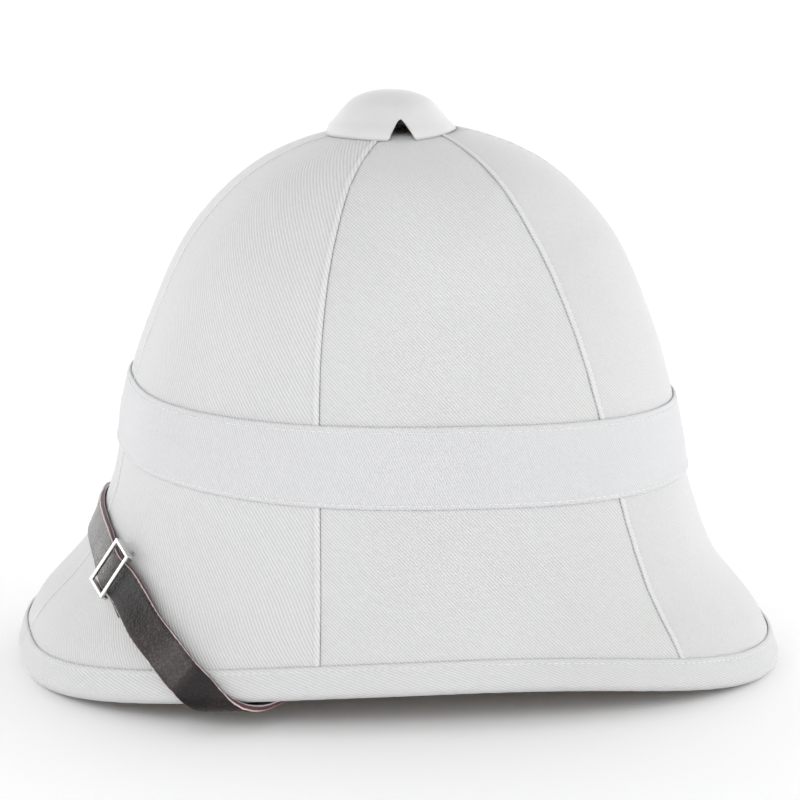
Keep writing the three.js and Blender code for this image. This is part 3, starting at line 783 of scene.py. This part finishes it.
def seam_stitches(number, side):
    depths = np.linspace(16.0, 224.0, 260)
    turns = np.array([float(seam_turn(number, d)) for d in depths])
    keep = depths < rounding(turns) - 6
    depths, turns = depths[keep], turns[keep]
    around = unit(cloth(turns + 0.01, depths) - cloth(turns - 0.01, depths))
    points = cloth(turns, depths) + around * side * 2.7
    stitches(f"stitches_seam_{number}", points, normal(turns, depths), 1.9, 2.9, 0.13,
             "cover_cloth", -0.02, 0.1, 20 + number)


for number, side in ((0, 1), (1, -1), (2, 1), (3, -1), (4, -1), (5, 1)):
    seam_stitches(number, side)


# The vent cap, its collar and its two air notches

CAP_CURVE = np.array([(CAP_RADIUS, 0), (27.4, 2.4), (24.4, 5.6), (21.6, 9.1),
                      (17.6, 13.2), (13.2, 15.5), (8.8, 16.9), (0, 17.7)])


def cap_radius_height(share):
    """The dome's profile as a smooth curve from its rim (0) to its middle (1)."""
    run = arc_lengths(CAP_CURVE)
    key = run / run[-1]
    tangent = np.gradient(CAP_CURVE, key, axis=0)
    tangent[-1, 1] = 0
    i = np.clip(np.searchsorted(key, share) - 1, 0, len(key) - 2)
    h = key[i + 1] - key[i]
    t = ((share - key[i]) / h)[..., None]
    h = h[..., None]
    a, b, ta, tb = CAP_CURVE[i], CAP_CURVE[i + 1], tangent[i], tangent[i + 1]
    return (a * (2 * t ** 3 - 3 * t ** 2 + 1) + h * ta * (t ** 3 - 2 * t ** 2 + t)
            + b * (3 * t ** 2 - 2 * t ** 3) + h * tb * (t ** 3 - t ** 2))


def vent_cap():
    fine = np.linspace(-1, 1, 61)[:-1]
    half_turn = (0.71 * fine ** 3 + 0.29 * fine) * math.pi / 2
    angles = np.concatenate([half_turn, half_turn + math.pi])
    profile_height = cap_radius_height(np.linspace(0, 1, 400))
    rows = 34
    outer, inner = [], []
    for a in angles:
        c, s = math.cos(a), math.sin(a)
        x, y = CAP_RADIUS * c, CAP_RADIUS * s
        under = height_over(np.array([x]), np.array([y + VENT_Y]))[0]
        seat = float(under) + GAP - CAP_BASE
        notch = 0.0
        if abs(y) < NOTCH_HALF:
            notch = NOTCH_RISE * (1 - (abs(y) / NOTCH_HALF) ** 1.6) ** 0.85
        bottom = seat + notch
        start = np.interp(max(bottom, 0.0), profile_height[:, 1], np.linspace(0, 1, 400))
        shares = start + (1 - start) * np.linspace(0, 1, rows) ** 0.9
        line = cap_radius_height(shares)
        if bottom < 0:
            line[:, 1] += bottom * np.clip(1 - line[:, 1] / 4.0, 0, 1)
        lip = 0.35 * np.exp(-((line[:, 1] - line[0, 1]) / 0.8) ** 2)
        r = np.minimum(line[:, 0] + lip * (line[:, 0] > 5), CAP_RADIUS)
        outer.append(np.stack([r * c, r * s + VENT_Y, line[:, 1] + CAP_BASE], -1))
        slope = unit(np.gradient(line, axis=0))
        inner_r = np.maximum(line[:, 0] - CAP_WALL * np.abs(slope[:, 1]), 0.0)
        inner_r[-1] = 0.0
        inner_z = line[:, 1] - CAP_WALL * np.abs(slope[:, 0])
        inner_z[0] = line[0, 1]
        inner_r[0] = max(line[0, 0] - 1.0, 0.0)
        floor_z = height_over(inner_r * c, inner_r * s + VENT_Y) + GAP - CAP_BASE
        inner_z = np.maximum(inner_z, floor_z)
        inner.append(np.stack([inner_r * c, inner_r * s + VENT_Y, inner_z + CAP_BASE], -1))
    outer, inner = np.array(outer), np.array(inner)
    loop = np.concatenate([outer, inner[:, ::-1]], axis=1)
    faces = quads(len(angles), loop.shape[1], wrap_rows=True)
    rim = np.arange(len(angles)) * loop.shape[1]
    after = np.roll(rim, -1)
    last = loop.shape[1] - 1
    closing = np.stack([rim + last, after + last, after, rim], -1)
    faces = np.concatenate([faces, closing])
    return piece("vent_dome", loop, faces, CAP, "vent_cap")


vent_cap()


def turned(name, profile, place, basis, material, node, segments=48):
    ring, faces = revolve(profile, segments)
    points = ring.reshape(-1, 3) @ np.array(basis) + np.array(place)
    return piece(name, points, faces, material, node)


collar = [(5.7, 227), (6.0, 226.9), (7.0, 227.1), (7.2, 227.4), (7.2, 247.7),
          (7.0, 248.0), (5.9, 248.0), (5.7, 247.8), (5.7, 227)]
turned("vent_tube", collar, (0, VENT_Y, 0), np.eye(3), PLATED, "vent_collar")


# The chin strap

def on_route(place, column):
    """Value of the route at places along it, negative places on the right side."""
    last = len(ROUTE) - 1

    def value(i):
        row = np.minimum(np.abs(i), last)
        if column == 0:
            return np.where(i < 0, -ROUTE[row, 0], ROUTE[row, 0])
        return np.where(i < 0, ROUTE[row, column + 2], ROUTE[row, column])

    place = np.asarray(place, float)
    i = np.minimum(np.floor(place).astype(int), last - 1)
    t = place - i
    before, a, b, after = value(i - 1), value(i), value(i + 1), value(i + 2)
    return 0.5 * (2 * a + (b - before) * t + (2 * before - 5 * a + 4 * b - after) * t ** 2
                  + (3 * a - before - 3 * b + after) * t ** 3)


def skin_steps(turn, up, out):
    a = (skin(turn + 0.01, up, out) - skin(turn - 0.01, up, out)) / 0.02
    b = (skin(turn, up + 0.2, out) - skin(turn, up - 0.2, out)) / 0.4
    return a, b


def strap_frame(place, out):
    turn = np.radians(on_route(place, 0))
    up = on_route(place, 1)
    ahead = skin(np.radians(on_route(place + 0.02, 0)), on_route(place + 0.02, 1), out)
    behind = skin(np.radians(on_route(place - 0.02, 0)), on_route(place - 0.02, 1), out)
    along = unit(ahead - behind)
    a, b = skin_steps(turn, up, out)
    off = unit(np.cross(a, b))
    across = unit(np.cross(off, along))
    return turn, up, along, across, off


def beside(turn, up, across, distance, out):
    for _ in range(4):
        a, b = skin_steps(turn, up, out)
        area = np.cross(a, b)
        size = np.sum(area * area, -1)
        step = across * (np.asarray(distance) / 4)[..., None]
        turn = turn + np.sum(np.cross(step, b) * area, -1) / size
        up = up + np.sum(np.cross(a, step) * area, -1) / size
    return turn, up


def strap_section(width, thick, round_off, columns=9):
    """Corner-rounded section: (across, height, which face), starting under the strap."""
    half = width / 2
    flat = np.linspace(-half + round_off, half - round_off, columns)
    section = [(x, 0.0, 0) for x in flat]
    side = [(half - round_off * 0.3, 0.10), (half, 0.28), (half, 0.72), (half - round_off * 0.3, 0.92)]
    section += [(x, thick * share, 1) for x, share in side]
    section += [(x, thick, 0) for x in flat[::-1]]
    section += [(-x, thick * share, 1) for x, share in side[::-1]]
    return section


def ribbon(name, places, width, thick, shift, clear, material, node,
           camber=0.0, tip=None, share=1.0, tone=None):
    """A strip of leather along the route, which share thins and tone lights or darkens as painted sheen
    and shade.
    """
    turn, up, _, across, _ = strap_frame(places, clear + thick / 2)
    section = strap_section(width, thick, 0.6)
    grid, sheet, kind, marks = [], [], [], []
    run = None
    for x, height, face in section:
        reach = np.full_like(places, x)
        if tip is not None:
            reach = np.clip(reach, -tip, tip)
        t, u = beside(turn, up, across, reach + shift, clear + thick / 2)
        crown = camber * (1 - (2 * x / width) ** 2) if height > thick / 2 else 0.0
        fold = 1 + 0.36 * np.clip(2 * x / width, 0, 1) ** 2
        line = skin(t, u, clear + (height * fold + crown) * share)
        if run is None:
            run = arc_lengths(line)
        grid.append(line)
        sheet.append(np.stack([run, np.full_like(run, height)], -1))
        kind.append(face)
        edge_dark = 0.35 * abs(2 * x / width) ** 6
        # The tone carries painted sheen and shade along the strap
        marks.append(np.zeros_like(places) if tone is None else tone - edge_dark)
    grid = np.array(grid).transpose(1, 0, 2)
    sheet = np.array(sheet).transpose(1, 0, 2)
    rows, cols = grid.shape[:2]
    faces = quads(rows, cols, wrap_cols=True)
    kinds = np.array(kind)
    edge = ((kinds + np.roll(kinds, -1)) > 0).astype(int)
    face_kinds = np.tile(edge, rows - 1)
    half = cols // 2
    caps = []
    for base, turned_over in ((0, False), ((rows - 1) * cols, True)):
        for j in range(half - 1):
            a, b, c, d = base + j, base + j + 1, base + cols - 2 - j, base + cols - 1 - j
            caps.append((a, b, c, d) if turned_over else (d, c, b, a))
    faces = np.concatenate([faces, np.array(caps)])
    face_kinds = np.concatenate([face_kinds, np.ones(len(caps), int)])
    return piece(name, grid, faces, material, node, sheet, face_kinds,
                 np.array(marks).T)


# Tone by place along the route, set after the photo: painted sheen and reflection above zero, painted
# shade below it, with some rubbed wear
SHEEN_SHADE_AND_WEAR = np.array([(-12, 0), (-6, 0.2), (-3, 0.5), (-1, 1.0), (1.6, 0.85), (2.4, 0.75),
                 (3.0, -1.5), (3.6, -1.2), (4.5, -0.8), (5.3, -0.1), (6.3, 0.6), (6.8, 0.6),
                 (7.2, -1.8), (7.4, -1.6), (7.9, -0.5), (9, 0.2), (12, 0)])

strap_places = np.linspace(-12, 12, 721)
front = np.exp(-((strap_places + 1.9) / 1.1) ** 2)
# The strap rises over the buckle's middle bar and lies a little to one side in the buckle
bulge = 0.5 * np.exp(-((strap_places - BUCKLE_PLACE) / 0.2) ** 2)
aside = -1.3 * np.exp(-((strap_places - BUCKLE_PLACE) / 0.5) ** 2)
strap_clear = on_route(strap_places, 2) + bulge - 0.3 * front
# Painted sheen and shade along the strap, with some rubbed wear
strap_sheen_shade_and_wear = np.interp(strap_places, SHEEN_SHADE_AND_WEAR[:, 0], SHEEN_SHADE_AND_WEAR[:, 1])
strap_sheen_shade_and_wear = strap_sheen_shade_and_wear + 0.15 * ripple(strap_places, 0.0, 1.3, 41)
ribbon("leather_strap", strap_places, STRAP_WIDTH, STRAP_THICK, aside, strap_clear,
       [LEATHER, LEATHER_EDGE], "chin_strap", camber=0.15, share=1 - 0.35 * front, tone=strap_sheen_shade_and_wear)

tail_places = np.linspace(TAIL_START, TAIL_END, 60)
tail_taper = np.clip((tail_places - 3.93) / TAIL_ROUND, 0, 1) ** 2 * 0.45
ribbon("leather_tail", tail_places, TAIL_WIDTH, TAIL_THICK, TAIL_SHIFT,
       np.full_like(tail_places, TAIL_CLEAR), [LEATHER, LEATHER_EDGE], "strap_tail",
       tip=TAIL_WIDTH / 2 * (1 - tail_taper))


def strap_basis(place):
    turn, up, along, across, off = strap_frame(np.array([place]), 0.0)
    return skin(turn, up, 0.0)[0], np.array([along[0], across[0], off[0]])


def rounded_block(low, high, bevel):
    """A block with rounded edges, as points and four-sided faces."""
    low, high = np.array(low, float), np.array(high, float)
    size = (high - low) / 2
    middle = (high + low) / 2
    bevel = min(bevel, size.min() * 0.98)
    steps = 4
    turn = np.linspace(0, math.pi / 2, steps)
    lines = [np.concatenate([-s + bevel - bevel * np.cos(turn), s - bevel + bevel * np.sin(turn)])
             for s in size]
    verts, faces, base = [], [], 0
    for axis in range(3):
        a, b = [k for k in range(3) if k != axis]
        for side in (-1, 1):
            ga, gb = np.meshgrid(lines[a], lines[b], indexing="ij")
            p = np.zeros(ga.shape + (3,))
            p[..., a], p[..., b], p[..., axis] = ga, gb, side * size[axis]
            core = np.clip(p, -(size - bevel), size - bevel)
            p = core + unit(p - core) * bevel
            face = quads(*ga.shape)
            if (side > 0) == (axis == 1):
                face = face[:, ::-1]
            verts.append((p + middle).reshape(-1, 3))
            faces.append(face + base)
            base += len(verts[-1])
    return np.concatenate(verts), np.concatenate(faces)


def slide_buckle():
    """Two bars over the strap, a plate at each side, and a middle bar under the strap."""
    long, wide = 8.25, 11.0
    bar, plate = 2.0, 1.4
    bar_low, bar_top = 6.0, 7.4
    plate_low, plate_top = 4.0, 7.38
    middle, middle_low, middle_top, lug_top = 0.8, 1.35, 2.05, 4.6
    blocks = [
        rounded_block((-long, -wide, bar_low), (-long + bar, wide, bar_top), 0.45),
        rounded_block((long - bar, -wide, bar_low), (long, wide, bar_top), 0.45),
        rounded_block((-long, -wide, plate_low), (long, -wide + plate, plate_top), 0.35),
        rounded_block((-long, wide - plate, plate_low), (long, wide, plate_top), 0.35),
        rounded_block((-middle, -wide, middle_low), (middle, -wide + plate, lug_top), 0.3),
        rounded_block((-middle, wide - plate, middle_low), (middle, wide, lug_top), 0.3),
        rounded_block((-middle, -wide, middle_low), (middle, wide, middle_top), 0.3),
    ]
    verts, faces, base = [], [], 0
    for points, quad in blocks:
        if volume(points, quad) < 0:
            quad = quad[:, ::-1]
        verts.append(points)
        faces.append(quad + base)
        base += len(points)
    origin, basis = strap_basis(BUCKLE_PLACE)
    points = np.concatenate(verts) @ basis + origin
    return piece("chrome_buckle", points, np.concatenate(faces), CHROME, "slide_buckle")


slide_buckle()

for side, label in ((1, "left"), (-1, "right")):
    origin, basis = strap_basis(POST_PLACE * side)
    top = ROUTE[-1, 2] + STRAP_THICK + GAP
    post = [(0, GAP), (1.9, GAP), (2.2, GAP + 0.3), (2.2, top), (5.6, top), (6.0, top + 0.3),
            (5.8, top + 0.8), (4.6, top + 1.2), (2.5, top + 1.38), (0, top + 1.4)]
    turned("post_" + label, post, origin, basis, PLATED, "strap_post_" + label)


# Floor, light and camera

def light(name, place, target, size, power):
    data = bpy.data.lights.new(name, "AREA")
    data.shape = "RECTANGLE"
    data.size, data.size_y = size
    data.energy = power
    thing = bpy.data.objects.new(name, data)
    bpy.context.collection.objects.link(thing)
    back = unit(np.array(place, float) - np.array(target, float))
    right = unit(np.cross([0, 0, 1.0], back))
    up = np.cross(back, right)
    rows = [[right[k], up[k], back[k], place[k]] for k in range(3)]
    thing.matrix_world = Matrix(rows + [[0, 0, 0, 1]])


floor_mesh = bpy.data.meshes.new("floor")
floor_mesh.from_pydata([(-6, -6, 0), (6, -6, 0), (6, 6, 0), (-6, 6, 0)], [], [(0, 1, 2, 3)])
floor_mesh.materials.append(floor_material("pale_floor"))
floor = bpy.data.objects.new("floor", floor_mesh)
bpy.context.collection.objects.link(floor)


def studio_world():
    """White surroundings, nearly dark straight overhead and a little darker at the camera."""
    world = bpy.data.worlds.new("studio")
    world.use_nodes = True
    tree = world.node_tree
    background = tree.nodes["Background"]
    background.inputs["Color"].default_value = (1.0, 1.0, 1.0, 1.0)
    direction = tree.nodes.new("ShaderNodeTexCoord").outputs["Generated"]
    split = tree.nodes.new("ShaderNodeSeparateXYZ")
    tree.links.new(direction, split.inputs[0])

    def math_node(operation, values):
        node = tree.nodes.new("ShaderNodeMath")
        node.operation = operation
        for socket, value in zip(node.inputs, values):
            if isinstance(value, bpy.types.NodeSocket):
                tree.links.new(value, socket)
            else:
                socket.default_value = value
        return node.outputs[0]

    overhead = math_node("MAXIMUM", (split.outputs["Z"], 0.0))
    strength = math_node("MULTIPLY_ADD", (overhead, OVERHEAD, HORIZON))
    strength = math_node("MULTIPLY_ADD", (split.outputs["X"], TOWARDS_CAMERA, strength))
    strength = math_node("MULTIPLY_ADD", (split.outputs["Y"], TOWARDS_BACK, strength))
    tree.links.new(strength, background.inputs["Strength"])
    return world


# Strength of the surroundings at the horizon, and its change upwards, towards the wearer's left,
# where the camera is, and towards the back of the hat
HORIZON, OVERHEAD, TOWARDS_CAMERA, TOWARDS_BACK = 3.02, -3.0, -0.5, 0.26
bpy.context.scene.world = studio_world()

light("key", (1.6, -1.5, 1.7), (0, 0, 0.1), (1.4, 1.4), 7)
light("fill", (1.7, 1.7, 0.9), (0, 0, 0.12), (1.6, 1.4), 3)

# The photo's camera: its distance in millimetres, angles, the point of the hat in the middle of the
# picture, to the right and down from the crown's top, and pixels for each millimetre at the hat
CAMERA_DISTANCE = 1500.0
ELEVATION, AZIMUTH, ROLL = map(math.radians, (11.77, 79.88, 0.61))
AIM_RIGHT, AIM_DOWN = -1.03, 122.96
PIXELS_PER_MM = 2.26
IMAGE_WIDTH = 800
SENSOR_WIDTH = 36.0
level = math.cos(ELEVATION)
back = np.array([math.sin(AZIMUTH) * level, -math.cos(AZIMUTH) * level, math.sin(ELEVATION)])
right = np.array([math.cos(AZIMUTH), math.sin(AZIMUTH), 0.0])
up = np.cross(back, right)
aim = right * AIM_RIGHT + np.array([0, SHIFT_Y, CROWN_HEIGHT - AIM_DOWN])
eye = (aim + back * CAMERA_DISTANCE) / 1000
right, up = (math.cos(ROLL) * right + math.sin(ROLL) * up,
             -math.sin(ROLL) * right + math.cos(ROLL) * up)
lens = bpy.data.cameras.new("camera")
lens.sensor_width = SENSOR_WIDTH
lens.lens = PIXELS_PER_MM * CAMERA_DISTANCE / IMAGE_WIDTH * SENSOR_WIDTH
lens.clip_end = 50.0
camera = bpy.data.objects.new("camera", lens)
bpy.context.collection.objects.link(camera)
rows = [[right[k], up[k], back[k], eye[k]] for k in range(3)]
camera.matrix_world = Matrix(rows + [[0, 0, 0, 1]])
bpy.context.scene.camera = camera
bpy.context.scene.view_settings.view_transform = "Standard"

bpy.context.view_layer.update()
